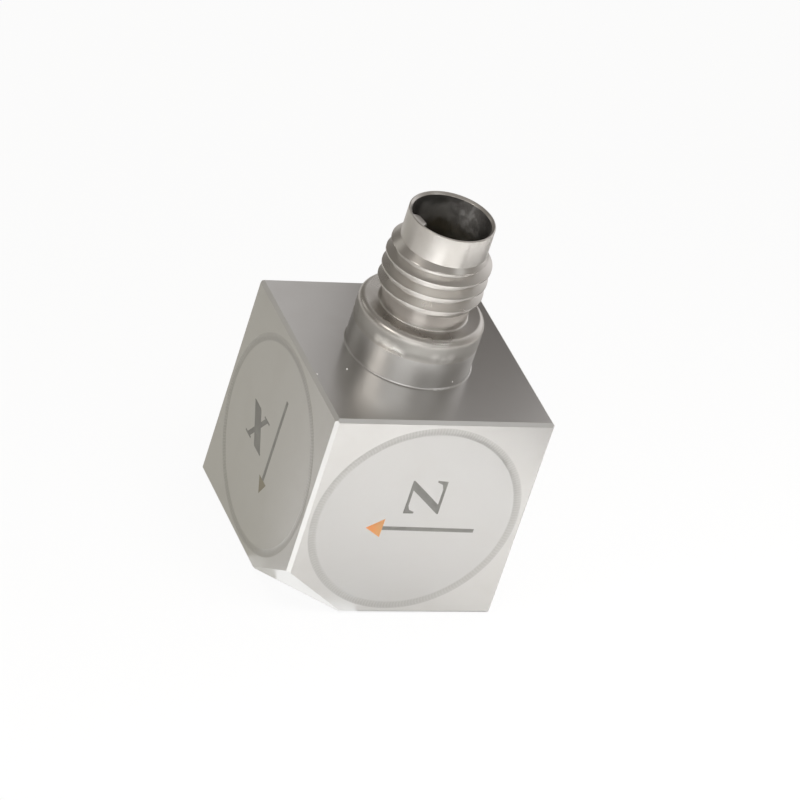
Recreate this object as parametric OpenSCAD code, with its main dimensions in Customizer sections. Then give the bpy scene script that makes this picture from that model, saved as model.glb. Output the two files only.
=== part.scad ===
// Three-axis vibration sensor: a cube with three welded covers and a threaded four-pin socket on top.
// Millimetres. The origin is the middle of the bottom face and +Z runs up through the socket.

/* [Housing] */
// Side of the cube
cube_side = 14; // [14:0.5:18]
// Chamfer along the edges of the cube
edge_chamfer = 0.2; // [0.1:0.05:0.3]
// Horizontal legs of the flat milled off the lower front left corner, at 45 degrees to the bottom
corner_leg = 4.4; // [3:0.1:4.5]
// Diameter of the boss that carries the socket
boss_d = 7.6; // [7.2:0.1:8.6]
// Height of the boss
boss_h = 2.25; // [1.5:0.05:3.5]
// Fillet at the foot of the boss
boss_fillet = 0.1; // [0.1:0.05:0.3]
// Diameter of the bore through the boss into the chamber
chamber_d = 5.4; // [5.2:0.1:5.6]
// Depth of the chamber below the top face
chamber_depth = 5.3; // [5.1:0.1:6]

/* [Covers] */
// Land between the seat of a cover and the edge of its face
seat_land = 0.65; // [0.6:0.05:1]
// Thickness of a cover
cover_t = 0.4; // [0.3:0.05:0.5]
// Width of the weld round a cover and round the boss
weld_w = 0.5; // [0.3:0.05:0.55]
// Sink of the weld below the face of a cover
weld_sink = 0.04; // [0.02:0.01:0.08]
// Crown of the weld round the boss
weld_crown = 0.06; // [0.03:0.01:0.1]

/* [Sensing elements] */
// Diameter of the recess behind a cover
recess_d = 10.6; // [9:0.1:10.8]
// Depth of the recess behind a cover
recess_depth = 1; // [0.9:0.05:1.1]
// Diameter of the well in the middle of the recess
well_d = 6.4; // [6:0.1:6.4]
// Depth of the well below the recess
well_depth = 2.2; // [2:0.05:2.2]
// Outer diameter of the washers and the ceramic ring
ring_d = 3.8; // [3.2:0.1:3.8]
// Thickness of the insulating washer
insulator_t = 0.3; // [0.2:0.05:0.4]
// Thickness of the electrode
electrode_t = 0.1; // [0.08:0.01:0.15]
// Thickness of the ceramic ring
piezo_t = 0.6; // [0.4:0.05:0.7]
// Diameter of the preload screw
screw_d = 1.6; // [1.2:0.1:1.8]
// Length of the preload screw in the block
screw_grip = 1.8; // [1.4:0.1:1.9]
// Diameter of the screw head
screw_head_d = 3; // [2.6:0.1:3.4]
// Height of the screw head
screw_head_h = 0.55; // [0.4:0.05:0.6]
// Width across the flats of the screw's hexagon socket
screw_key = 1.3; // [0.8:0.1:1.5]

/* [Thread and shroud] */
// Outer diameter of the thread
thread_d = 6.35; // [6:0.05:6.8]
// Pitch of the thread
thread_pitch = 0.907; // [0.6:0.001:1]
// Length of the thread with its end chamfers
thread_length = 3.25; // [2.4:0.05:4.5]
// Height of the flange above the boss
flange_h = 1.05; // [0.9:0.05:1.6]
// Rounding of the flange's upper edge
flange_round = 0.35; // [0.2:0.05:0.5]
// Wall of the neck between flange and thread
neck_wall = 0.27; // [0.2:0.01:0.4]
// Height of the neck
neck_h = 1.2; // [1:0.05:1.8]
// Wall of the shroud above the thread
shroud_wall = 0.22; // [0.15:0.01:0.35]
// Height of the shroud above the thread
shroud_h = 1.85; // [1.2:0.05:2.6]
// Diameter of the socket in the shroud
socket_d = 4.76; // [4.6:0.02:4.8]
// Rounding of the shroud's rim
rim_round = 0.08; // [0.04:0.01:0.1]
// Width of the key in the socket
key_w = 1.1; // [0.6:0.05:1.2]
// Height of the key above the wall of the socket
key_h = 0.4; // [0.2:0.05:0.5]
// Direction of the key
key_angle = 192; // [165:1:205]

/* [Contacts and seal] */
// Thickness of the glass seal
glass_t = 1.4; // [1:0.05:1.6]
// Depth of the spigot in the boss
spigot_h = 1.5; // [1:0.05:1.5]
// Diameter of the bore below the glass
tail_bore_d = 4; // [3.6:0.1:4.2]
// Diameter of a contact pin
pin_d = 0.5; // [0.4:0.05:0.6]
// Diameter of the circle of contact pins
pin_circle_d = 2.2; // [2:0.1:2.4]
// Depth of the pin tips below the rim
pin_recess = 2.7; // [2.4:0.1:3.2]

/* [Circuit] */
// Thickness of the circuit board
board_t = 0.5; // [0.4:0.05:0.8]
// Depth of the board's upper side below the top face of the cube
board_drop = 0.5; // [0.2:0.05:0.8]
// Length of an amplifier chip
chip_l = 1; // [0.8:0.05:1]
// Width of an amplifier chip
chip_w = 0.8; // [0.6:0.05:0.8]
// Height of an amplifier chip
chip_h = 0.45; // [0.3:0.05:0.6]
// Distance of the outer chips from the axis
chip_offset = 1.6; // [1.5:0.05:1.65]
// Diameter of a lead
lead_d = 0.3; // [0.2:0.02:0.34]
// Distance of a lead from the axis of its element and of the chamber
lead_offset = 2.25; // [2.24:0.01:2.28]
// Bend radius of a lead
lead_bend = 0.45; // [0.35:0.05:0.5]

/* [Mounting hole] */
// Tapping drill of the mounting thread
mount_drill = 2.5; // [2:0.1:3.3]
// Depth of the mounting hole
mount_depth = 3.8; // [3:0.1:4]
// Diameter of the countersink at the mouth
mount_mouth = 3.1; // [2.6:0.1:4]

/* [Clearances] */
// Gap round a cover below its weld and round the spigot
seat_gap = 0.02; // [0.01:0.01:0.05]
// Gap round the seismic mass in its well and recess
mass_gap = 0.4; // [0.3:0.05:0.5]
// Gap above and below the rim of the seismic mass
mass_lift = 0.2; // [0.15:0.01:0.25]
// Gap between the preload screw and the rings round it
screw_gap = 0.1; // [0.05:0.05:0.2]
// Gap between a lead and its hole
lead_gap = 0.15; // [0.1:0.01:0.15]
// Gap between the circuit board and the wall of the chamber
board_gap = 0.2; // [0.15:0.05:0.25]
// Gap between a contact pin and its hole in the board
pin_gap = 0.03; // [0.02:0.01:0.05]

/* [Hidden] */
$fn = 96;
half = cube_side / 2;
seat_r = half - seat_land;
// The faces that carry a cover: where their middles are and how they turn
FRONT = 0;
LEFT = 1;
BOTTOM = 2;
face_middle = [[0, -half, half], [-half, 0, half], [0, 0, 0]];
face_turn = [[90, 0, 0], [90, 0, -90], [180, 0, 135]];
// Heights in an element, measured inward from its face
recess_z = -cover_t - recess_depth;
floor_z = recess_z - well_depth;
electrode_z = floor_z + insulator_t;
piezo_z = electrode_z + electrode_t;
mass_z = piezo_z + piezo_t;
head_z = recess_z + mass_lift;
mass_top_z = -cover_t - mass_lift;
ring_bore_d = screw_d + 2 * screw_gap;
lead_hole_d = lead_d + 2 * lead_gap;
// Heights of the socket
boss_z = cube_side + boss_h;
spigot_z = boss_z - spigot_h;
shoulder_z = boss_z + flange_h;
thread_z = shoulder_z + neck_h;
shroud_z = thread_z + thread_length;
rim_z = shroud_z + shroud_h;
glass_z = shoulder_z - 0.3;
board_z = cube_side - board_drop - board_t;
pin_tail_z = board_z - 0.3;
// Basic form of a 60 degree thread
thread_depth = 5 / 8 * thread_pitch * cos(30);
root_d = thread_d - 2 * thread_depth;
// The neck and the shroud stand round the socket
neck_d = socket_d + 2 * neck_wall;
shroud_d = socket_d + 2 * shroud_wall;
// A cut goes this far past the face it opens
past = 1;

// Shared shapes

// Puts a shape on a covered face, with +Z out of the face
module on_face(face) {
    translate(face_middle[face])
        rotate(face_turn[face])
            children();
}

// A rectangle of a turned section, between two radii and two heights
module band(r0, r1, z0, z1) {
    translate([r0, z0])
        square([r1 - r0, z1 - z0]);
}

// A flat ring that stands on a height
module ring(outer_d, bore_d, z, t) {
    translate([0, 0, z])
        difference() {
            cylinder(d = outer_d, h = t);
            translate([0, 0, -past])
                cylinder(d = bore_d, h = t + 2 * past);
        }
}

// Housing

// A square section with its corners cut, drawn out along one axis
module chamfered_bar() {
    e = half - edge_chamfer;
    linear_extrude(height = cube_side, center = true)
        polygon([[e, half], [half, e], [half, -e], [e, -half],
            [-e, -half], [-half, -e], [-half, e], [-e, half]]);
}

module chamfered_cube() {
    translate([0, 0, half])
        intersection() {
            chamfered_bar();
            rotate([90, 0, 0])
                chamfered_bar();
            rotate([0, 90, 0])
                chamfered_bar();
        }
}

// Boss with a fillet at its foot and the bevel that takes the weld
module boss() {
    r = boss_d / 2;
    rotate_extrude() {
        polygon([[0, cube_side - past], [r, cube_side - past], [r, boss_z - weld_w / 2],
            [r - weld_w / 2, boss_z], [0, boss_z]]);
        difference() {
            band(r - boss_fillet, r + boss_fillet, cube_side, cube_side + boss_fillet);
            translate([r + boss_fillet, cube_side + boss_fillet])
                circle(r = boss_fillet);
        }
    }
}

// What is milled off the corner
module corner_cut() {
    translate([corner_leg - half, -half, 0])
        rotate([0, 135, 225])
            translate([-half, -half, 0])
                cube(cube_side);
}

// Everything cut behind one cover: weld bevel, seat, recess, well, screw hole and lead hole
module element_cut(lead_hole_depth) {
    rotate_extrude()
        polygon([[0, past], [seat_r + weld_w / 2 + past, past], [seat_r, -weld_w / 2],
            [seat_r, -cover_t], [recess_d / 2, -cover_t], [recess_d / 2, recess_z],
            [well_d / 2, recess_z], [well_d / 2, floor_z], [0, floor_z]]);
    translate([0, 0, floor_z - screw_grip])
        cylinder(d = screw_d, h = screw_grip + past);
    translate([0, lead_offset, floor_z - lead_hole_depth])
        cylinder(d = lead_hole_d, h = lead_hole_depth + past);
}

module mounting_cut() {
    r = mount_drill / 2;
    sink = mount_mouth / 2 - r;
    translate([half, 0, half])
        rotate([0, 90, 0])
            rotate_extrude()
                polygon([[0, past], [r + sink + past, past], [r, -sink],
                    [r, -mount_depth], [0, -mount_depth]]);
}

module housing() {
    side_hole = half - lead_offset + floor_z;
    upright_hole = cube_side - chamber_depth + floor_z + past;
    color([0.62, 0.61, 0.59])
        difference() {
            union() {
                chamfered_cube();
                boss();
            }
            corner_cut();
            on_face(FRONT)
                element_cut(side_hole);
            on_face(LEFT)
                element_cut(side_hole);
            on_face(BOTTOM)
                element_cut(upright_hole);
            translate([0, 0, cube_side - chamber_depth])
                cylinder(d = chamber_d, h = chamber_depth + boss_h + past);
            mounting_cut();
        }
}

// Covers

// A disc whose weld fills the bevel of its seat and lies a little below the face
module cover() {
    disc_r = seat_r - seat_gap;
    sink_r = (pow(weld_w / 2, 2) + pow(weld_sink, 2)) / (2 * weld_sink);
    color([0.78, 0.78, 0.77])
        rotate_extrude()
            difference() {
                polygon([[0, 0], [0, -cover_t], [disc_r, -cover_t], [disc_r, -weld_w / 2],
                    [seat_r, -weld_w / 2], [seat_r + weld_w / 2, 0]]);
                translate([seat_r, sink_r - weld_sink])
                    circle(r = sink_r);
            }
}

module front_cover() {
    on_face(FRONT)
        cover();
}

module left_cover() {
    on_face(LEFT)
        cover();
}

module bottom_cover() {
    on_face(BOTTOM)
        cover();
}

// Sensing elements

module insulator() {
    color([0.93, 0.92, 0.88])
        ring(ring_d, ring_bore_d, floor_z, insulator_t);
}

// A washer with a tab over the lead
module electrode() {
    color([0.85, 0.65, 0.3])
        difference() {
            union() {
                translate([0, 0, electrode_z])
                    cylinder(d = ring_d, h = electrode_t);
                translate([-lead_d, 0, electrode_z])
                    cube([2 * lead_d, lead_offset + lead_d, electrode_t]);
            }
            translate([0, 0, electrode_z - past])
                cylinder(d = ring_bore_d, h = electrode_t + 2 * past);
        }
}

module piezo_ring() {
    color([0.8, 0.76, 0.62])
        ring(ring_d, ring_bore_d, piezo_z, piezo_t);
}

// A hub in the well and a rim in the recess, with a sunk seat for the screw's head
module seismic_mass() {
    hub_r = well_d / 2 - mass_gap;
    rim_r = recess_d / 2 - mass_gap;
    bore_r = ring_bore_d / 2;
    head_r = screw_head_d / 2 + screw_gap;
    color([0.42, 0.42, 0.44])
        rotate_extrude()
            polygon([[bore_r, mass_z], [hub_r, mass_z], [hub_r, head_z], [rim_r, head_z],
                [rim_r, mass_top_z], [head_r, mass_top_z], [head_r, head_z], [bore_r, head_z]]);
}

module preload_screw() {
    color([0.55, 0.55, 0.56])
        difference() {
            union() {
                translate([0, 0, floor_z - screw_grip])
                    cylinder(d = screw_d, h = head_z - floor_z + screw_grip + screw_head_h / 2);
                translate([0, 0, head_z])
                    cylinder(d = screw_head_d, h = screw_head_h);
            }
            translate([0, 0, head_z + screw_head_h / 3])
                cylinder(d = screw_key / cos(30), h = screw_head_h, $fn = 6);
        }
}

module front_insulator() {
    on_face(FRONT)
        insulator();
}

module left_insulator() {
    on_face(LEFT)
        insulator();
}

module bottom_insulator() {
    on_face(BOTTOM)
        insulator();
}

module front_electrode() {
    on_face(FRONT)
        electrode();
}

module left_electrode() {
    on_face(LEFT)
        electrode();
}

module bottom_electrode() {
    on_face(BOTTOM)
        electrode();
}

module front_piezo_ring() {
    on_face(FRONT)
        piezo_ring();
}

module left_piezo_ring() {
    on_face(LEFT)
        piezo_ring();
}

module bottom_piezo_ring() {
    on_face(BOTTOM)
        piezo_ring();
}

module front_seismic_mass() {
    on_face(FRONT)
        seismic_mass();
}

module left_seismic_mass() {
    on_face(LEFT)
        seismic_mass();
}

module bottom_seismic_mass() {
    on_face(BOTTOM)
        seismic_mass();
}

module front_preload_screw() {
    on_face(FRONT)
        preload_screw();
}

module left_preload_screw() {
    on_face(LEFT)
        preload_screw();
}

module bottom_preload_screw() {
    on_face(BOTTOM)
        preload_screw();
}

// Leads

// From an electrode through the wall of the chamber, then up to the board
module bent_lead() {
    up_z = lead_offset - half;
    color([0.75, 0.2, 0.15])
        translate([0, lead_offset, 0]) {
            translate([0, 0, up_z + lead_bend])
                cylinder(d = lead_d, h = electrode_z - up_z - lead_bend);
            translate([0, lead_bend, up_z + lead_bend])
                rotate([0, 90, 0])
                    rotate_extrude(angle = -90)
                        translate([lead_bend, 0])
                            rotate(180)
                                circle(d = lead_d);
            translate([0, lead_bend, up_z])
                rotate([-90, 0, 0])
                    cylinder(d = lead_d, h = board_z - half - lead_offset - lead_bend);
        }
}

module front_lead() {
    on_face(FRONT)
        bent_lead();
}

module left_lead() {
    on_face(LEFT)
        bent_lead();
}

// Straight up from the electrode through the block and the chamber
module bottom_lead() {
    color([0.75, 0.2, 0.15])
        on_face(BOTTOM)
            translate([0, lead_offset, -board_z])
                cylinder(d = lead_d, h = board_z + electrode_z);
}

// Socket

// The section of one groove of the thread, from its root to past the crest
module groove_section() {
    rise = thread_depth + past;
    root_w = thread_pitch / 8;
    mouth_w = root_w + rise * tan(30);
    translate([root_d / 2, 0])
        polygon([[0, -root_w], [rise, -mouth_w], [rise, mouth_w], [0, root_w]]);
}

// Spigot and flange, with the weld that fills the bevel of the boss
module flange_section() {
    r = boss_d / 2;
    crown_r = (pow(weld_w / 2, 2) + pow(weld_crown, 2)) / (2 * weld_crown);
    band(tail_bore_d / 2, chamber_d / 2 - seat_gap, spigot_z, shoulder_z - flange_round);
    band(tail_bore_d / 2, r, boss_z, shoulder_z - flange_round);
    band(tail_bore_d / 2, r - flange_round, boss_z, shoulder_z);
    translate([r - flange_round, shoulder_z - flange_round])
        circle(r = flange_round);
    intersection() {
        translate([r + weld_crown - crown_r, boss_z])
            circle(r = crown_r);
        polygon([[r - weld_w / 2, boss_z], [r, boss_z - weld_w / 2], [r + weld_w, boss_z - weld_w / 2],
            [r + weld_w, boss_z + weld_w / 2], [r - weld_w / 2, boss_z + weld_w / 2]]);
    }
}

// The stock of the thread with its end chamfer, less one groove for each turn
module thread_section() {
    r = thread_d / 2;
    difference() {
        polygon([[tail_bore_d / 2, thread_z], [r, thread_z], [r, shroud_z - r + shroud_d / 2],
            [shroud_d / 2, shroud_z], [tail_bore_d / 2, shroud_z]]);
        for (i = [0:floor(thread_length / thread_pitch)])
            translate([0, thread_z + i * thread_pitch])
                groove_section();
    }
}

// Neck and shroud, with a rounded rim
module barrel_section() {
    band(tail_bore_d / 2, neck_d / 2, shoulder_z - flange_round, thread_z + thread_pitch);
    band(tail_bore_d / 2, shroud_d / 2, shroud_z - thread_pitch, rim_z - rim_round);
    band(tail_bore_d / 2, shroud_d / 2 - rim_round, shroud_z, rim_z);
    translate([shroud_d / 2 - rim_round, rim_z - rim_round])
        circle(r = rim_round);
}

// A rib down the wall of the socket that turns the plug the right way
module socket_key() {
    start_z = glass_z + glass_t;
    intersection() {
        translate([0, 0, start_z])
            cylinder(d = (socket_d + shroud_d) / 2, h = rim_z - start_z);
        rotate(key_angle)
            translate([socket_d / 2 - key_h, -key_w / 2, start_z])
                cube([key_h + past, key_w, rim_z - start_z + past]);
    }
}

module connector_shell() {
    color([0.72, 0.7, 0.66]) {
        rotate_extrude()
            difference() {
                union() {
                    flange_section();
                    thread_section();
                    barrel_section();
                }
                band(0, socket_d / 2, glass_z, rim_z + past);
            }
        socket_key();
    }
}

module glass_seal() {
    color([0.25, 0.33, 0.3])
        difference() {
            translate([0, 0, glass_z])
                cylinder(d = socket_d, h = glass_t);
            for (i = [0:3])
                at_pin(i)
                    translate([0, 0, glass_z - past])
                        cylinder(d = pin_d, h = glass_t + 2 * past);
        }
}

// Puts a shape on the axis of one contact pin
module at_pin(i) {
    rotate(key_angle + 45 + 90 * i)
        translate([pin_circle_d / 2, 0, 0])
            children();
}

// A straight pin with a round tip
module contact_pin(i) {
    tip_z = rim_z - pin_recess;
    color([0.9, 0.72, 0.35])
        at_pin(i)
            rotate_extrude() {
                band(0, pin_d / 2, pin_tail_z, tip_z - pin_d / 2);
                intersection() {
                    translate([0, tip_z - pin_d / 2])
                        circle(d = pin_d);
                    band(0, pin_d, tip_z - pin_d / 2, tip_z);
                }
            }
}

module contact_pin_1() {
    contact_pin(0);
}

module contact_pin_2() {
    contact_pin(1);
}

module contact_pin_3() {
    contact_pin(2);
}

module contact_pin_4() {
    contact_pin(3);
}

// Circuit

module circuit_board() {
    color([0.15, 0.4, 0.2])
        difference() {
            translate([0, 0, board_z])
                cylinder(d = chamber_d - 2 * board_gap, h = board_t);
            for (i = [0:3])
                at_pin(i)
                    translate([0, 0, board_z - past])
                        cylinder(d = pin_d + 2 * pin_gap, h = board_t + 2 * past);
        }
}

// A chip under the board, between the pin tails
module amplifier_chip(angle, offset) {
    color([0.1, 0.1, 0.1])
        rotate(key_angle + angle)
            translate([offset - chip_w / 2, -chip_l / 2, board_z - chip_h])
                cube([chip_w, chip_l, chip_h]);
}

module amplifier_chip_1() {
    amplifier_chip(180, 0);
}

module amplifier_chip_2() {
    amplifier_chip(180, chip_offset);
}

module amplifier_chip_3() {
    amplifier_chip(270, chip_offset);
}

housing();
front_cover();
left_cover();
bottom_cover();
front_insulator();
left_insulator();
bottom_insulator();
front_electrode();
left_electrode();
bottom_electrode();
front_piezo_ring();
left_piezo_ring();
bottom_piezo_ring();
front_seismic_mass();
left_seismic_mass();
bottom_seismic_mass();
front_preload_screw();
left_preload_screw();
bottom_preload_screw();
front_lead();
left_lead();
bottom_lead();
connector_shell();
glass_seal();
contact_pin_1();
contact_pin_2();
contact_pin_3();
contact_pin_4();
circuit_board();
amplifier_chip_1();
amplifier_chip_2();
amplifier_chip_3();
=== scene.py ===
"""Looks of a triaxial vibration sensor: a welded metal cube under a threaded four-pin socket."""

import logging
import math
from collections.abc import Callable
from dataclasses import dataclass, field
from enum import Enum

import bmesh
import bpy
from bmesh.types import BMesh, BMVert
from bpy.types import Material, Node, NodeOutputs, NodeSocket, NodeTree, Object
from mathutils import Matrix, Quaternion, Vector, noise


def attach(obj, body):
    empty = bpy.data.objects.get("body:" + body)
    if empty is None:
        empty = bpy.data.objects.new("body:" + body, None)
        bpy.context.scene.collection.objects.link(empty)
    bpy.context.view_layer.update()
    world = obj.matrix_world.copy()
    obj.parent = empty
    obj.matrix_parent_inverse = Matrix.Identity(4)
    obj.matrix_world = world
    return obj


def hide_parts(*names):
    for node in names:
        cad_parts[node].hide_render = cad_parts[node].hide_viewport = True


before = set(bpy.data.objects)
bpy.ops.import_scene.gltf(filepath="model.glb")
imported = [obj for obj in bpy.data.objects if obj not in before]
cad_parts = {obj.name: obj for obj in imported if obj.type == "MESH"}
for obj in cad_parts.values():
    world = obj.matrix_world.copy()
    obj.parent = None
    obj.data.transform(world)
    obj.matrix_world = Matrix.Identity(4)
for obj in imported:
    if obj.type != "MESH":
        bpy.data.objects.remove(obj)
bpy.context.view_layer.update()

log = logging.getLogger("vibration_sensor")

MM = 0.001
ROOT = "root"

Point = tuple[float, float]
Place = tuple[float, float, float]
Colour = tuple[float, float, float]
Outline = list[Point]


class Face(Enum):
    """The three faces of the cube that carry a welded cover."""

    FRONT = "front"
    LEFT = "left"
    BOTTOM = "bottom"


class Letter(Enum):
    """The letter that names a measuring axis."""

    X = "x"
    Y = "y"
    Z = "z"


class Slot(Enum):
    """Material slots of the part's record that new pieces take their finish from."""

    HOUSING = "housing_metal"
    COVER = "cover_metal"
    CONNECTOR = "connector_metal"


# Node graphs


class Graph:
    """A node tree with short calls for adding and joining nodes."""

    def __init__(self, tree: NodeTree) -> None:
        """Keep the tree that nodes are added to."""
        self.tree = tree

    def node(self, kind: str, **settings: object) -> Node:
        """Add a node.

        Args:
            kind: Blender's type name of the node.
            settings: Attributes to set on it.

        Returns:
            The new node.
        """
        made = self.tree.nodes.new(kind)
        for name, value in settings.items():
            setattr(made, name, value)
        return made

    def put(self, value: object, socket: NodeSocket) -> None:
        """Join an output to a socket, or set the socket to a plain value."""
        if isinstance(value, NodeSocket):
            self.tree.links.new(value, socket)
        else:
            socket.default_value = value

    def math(self, operation: str, *values: object, clamp: bool = False) -> NodeSocket:
        """Add a Math node.

        Args:
            operation: The operation's type name.
            values: One value or output for each input.
            clamp: Whether the result is held between 0 and 1.

        Returns:
            The node's output.
        """
        made = self.node("ShaderNodeMath", operation=operation, use_clamp=clamp)
        for value, socket in zip(values, made.inputs):
            self.put(value, socket)
        return made.outputs["Value"]

    def vector(self, operation: str, first: object, second: object,
               result: str = "Vector") -> NodeSocket:
        """Add a Vector Math node.

        Args:
            operation: The operation's type name.
            first: A vector or an output.
            second: A vector or an output.
            result: Name of the output to give.

        Returns:
            That output.
        """
        made = self.node("ShaderNodeVectorMath", operation=operation)
        self.put(first, made.inputs[0])
        self.put(second, made.inputs[1])
        return made.outputs[result]

    def split(self, vector: NodeSocket) -> NodeOutputs:
        """Split a vector into X, Y and Z."""
        made = self.node("ShaderNodeSeparateXYZ")
        self.put(vector, made.inputs[0])
        return made.outputs

    def ramp(self, value: object, low: float, high: float) -> NodeSocket:
        """Map a value smoothly onto 0 to 1.

        Args:
            value: The output or number to map.
            low: Where the result starts to rise.
            high: Where it has risen to 1.

        Returns:
            The mapped output.
        """
        made = self.node("ShaderNodeMapRange", interpolation_type="SMOOTHSTEP")
        self.put(value, made.inputs["Value"])
        made.inputs["From Min"].default_value = low
        made.inputs["From Max"].default_value = high
        return made.outputs["Result"]

    def blend(self, factor: object, first: object, second: object) -> NodeSocket:
        """Mix two colours.

        Args:
            factor: Share of the second colour.
            first: A colour or an output.
            second: A colour or an output.

        Returns:
            The mixed colour.
        """
        made = self.node("ShaderNodeMix", data_type="RGBA")
        sockets = [socket for socket in made.inputs if socket.enabled]
        for value, socket in zip((factor, first, second), sockets):
            self.put((*value, 1.0) if isinstance(value, tuple) else value, socket)
        return next(socket for socket in made.outputs if socket.enabled)

    def cloud(self, vector: object, scale: object, detail: float = 3.0) -> NodeSocket:
        """Add a Noise Texture.

        Args:
            vector: The output that gives the place.
            scale: Features to a metre, as a number or an output.
            detail: Octaves of finer noise.

        Returns:
            The noise value.
        """
        made = self.node("ShaderNodeTexNoise")
        self.put(vector, made.inputs["Vector"])
        self.put(scale, made.inputs["Scale"])
        made.inputs["Detail"].default_value = detail
        return made.outputs["Fac"]

    def coordinates(self, kind: str) -> NodeSocket:
        """Give texture coordinates of a kind, in metres for those of the object."""
        return self.node("ShaderNodeTexCoord").outputs[kind]


class Effect:
    """A shader node group that several materials share."""

    def __init__(self, name: str, inputs: dict[str, str], outputs: dict[str, str]) -> None:
        """Make an empty group with named sockets.

        Args:
            name: The group's name.
            inputs: Socket types by input name.
            outputs: Socket types by output name.
        """
        self.tree = bpy.data.node_groups.new(name, "ShaderNodeTree")
        for direction, sockets in (("INPUT", inputs), ("OUTPUT", outputs)):
            for label, kind in sockets.items():
                self.tree.interface.new_socket(name=label, in_out=direction, socket_type=kind)
        self.graph = Graph(self.tree)
        self.given = self.graph.node("NodeGroupInput").outputs
        self.result = self.graph.node("NodeGroupOutput").inputs

    def place(self, graph: Graph, **values: object) -> NodeOutputs:
        """Put the group into a material.

        Args:
            graph: The material's graph.
            values: Outputs or numbers by input name.

        Returns:
            The group's outputs in that material.
        """
        made = graph.node("ShaderNodeGroup", node_tree=self.tree)
        for name, value in values.items():
            graph.put(value, made.inputs[name])
        return made.outputs


VALUE = "NodeSocketFloat"
VECTOR = "NodeSocketVector"


class Effects:
    """The surface effects of this sensor, each built once."""

    TONE_RANGE = (0.3, 0.7)
    LINE_STRETCH = (0.03, 0.03, 1.0)
    SMEAR_RANGE = (0.48, 0.66)
    SEAM_RANGE = (0.0, 0.85)
    WANDER_SCALE = 900.0
    WANDER = 1.5
    PULSE_BOW = 2.2

    def __init__(self) -> None:
        """Build every group."""
        self.grain = self.satin_grain()
        self.lines = self.turned_lines()
        self.handling = self.handling_marks()
        self.ripple = self.weld_ripple()

    def satin_grain(self) -> Effect:
        """Make the fine pitted grain of a blasted surface, with a slow drift of tone."""
        effect = Effect("Satin grain", {"Vector": VECTOR, "Grain": VALUE, "Drift": VALUE},
                        {"Height": VALUE, "Tone": VALUE})
        graph, given = effect.graph, effect.given
        fine = graph.cloud(given["Vector"], given["Grain"], detail=4.0)
        slow = graph.cloud(given["Vector"], given["Drift"], detail=2.0)
        graph.put(fine, effect.result["Height"])
        graph.put(graph.ramp(slow, *self.TONE_RANGE), effect.result["Tone"])
        return effect

    def turned_lines(self) -> Effect:
        """Make the fine tool lines that turning leaves round the vertical axis."""
        effect = Effect("Turned lines", {"Vector": VECTOR, "Lines": VALUE}, {"Height": VALUE})
        graph, given = effect.graph, effect.given
        flat = graph.vector("MULTIPLY", given["Vector"], self.LINE_STRETCH)
        graph.put(graph.cloud(flat, given["Lines"], detail=2.0), effect.result["Height"])
        return effect

    def handling_marks(self) -> Effect:
        """Make the cloudy smears that fingers leave."""
        effect = Effect("Handling marks", {"Vector": VECTOR, "Scale": VALUE, "Amount": VALUE},
                        {"Mask": VALUE})
        graph, given = effect.graph, effect.given
        patch = graph.ramp(graph.cloud(given["Vector"], given["Scale"], detail=5.0), *self.SMEAR_RANGE)
        graph.put(graph.math("MULTIPLY", patch, given["Amount"]), effect.result["Mask"])
        return effect

    def weld_ripple(self) -> Effect:
        """Make the overlapping pulses of a round weld seam in the plane of its face."""
        effect = Effect("Weld ripple",
                        {"Vector": VECTOR, "Radius": VALUE, "Width": VALUE, "Pulses": VALUE},
                        {"Mask": VALUE, "Height": VALUE})
        graph, given = effect.graph, effect.given
        place = graph.split(given["Vector"])
        across, up = place["X"], place["Y"]
        reach = graph.math("SQRT", graph.math("ADD", graph.math("MULTIPLY", across, across),
                                              graph.math("MULTIPLY", up, up)))
        off = graph.math("DIVIDE", graph.math("SUBTRACT", reach, given["Radius"]),
                         graph.math("MULTIPLY", given["Width"], 0.5))
        inside = graph.math("SUBTRACT", 1.0, graph.math("MULTIPLY", off, off), clamp=True)
        mask = graph.ramp(inside, *self.SEAM_RANGE)
        turn = graph.math("ARCTAN2", up, across)
        wander = graph.math("MULTIPLY", graph.cloud(given["Vector"], self.WANDER_SCALE), self.WANDER)
        bow = graph.math("MULTIPLY", inside, self.PULSE_BOW)
        phase = graph.math("ADD", graph.math("MULTIPLY", turn, given["Pulses"]),
                           graph.math("ADD", wander, bow))
        pulse = graph.math("MULTIPLY_ADD", graph.math("SINE", phase), 0.5, 0.5)
        graph.put(mask, effect.result["Mask"])
        graph.put(graph.math("MULTIPLY", pulse, mask), effect.result["Height"])
        return effect


# Finishes

Depths = list[tuple[NodeSocket, float]]

METAL_DRIFT = 160.0
METAL_DRIFT_SHARE = 0.12
SMEAR_SCALE = 420.0
MINERAL_DRIFT = 1100.0
BAND_CORE = 0.4


def new_material(name: str) -> tuple[Material, Graph, Node]:
    """Start a node material.

    Args:
        name: The material's name.

    Returns:
        The material, its graph and its Principled BSDF.
    """
    material = bpy.data.materials.new(name)
    material.use_nodes = True
    return material, Graph(material.node_tree), material.node_tree.nodes["Principled BSDF"]


def relief(graph: Graph, shader: Node, depths: Depths) -> None:
    """Stack height fields into the normal of a shader.

    Args:
        graph: The material's graph.
        shader: The Principled BSDF.
        depths: Height outputs with their depths in millimetres.
    """
    normal = None
    for height, depth in depths:
        bump = graph.node("ShaderNodeBump")
        bump.inputs["Distance"].default_value = depth * MM
        graph.put(height, bump.inputs["Height"])
        if normal is not None:
            graph.put(normal, bump.inputs["Normal"])
        normal = bump.outputs["Normal"]
    graph.put(normal, shader.inputs["Normal"])


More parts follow.
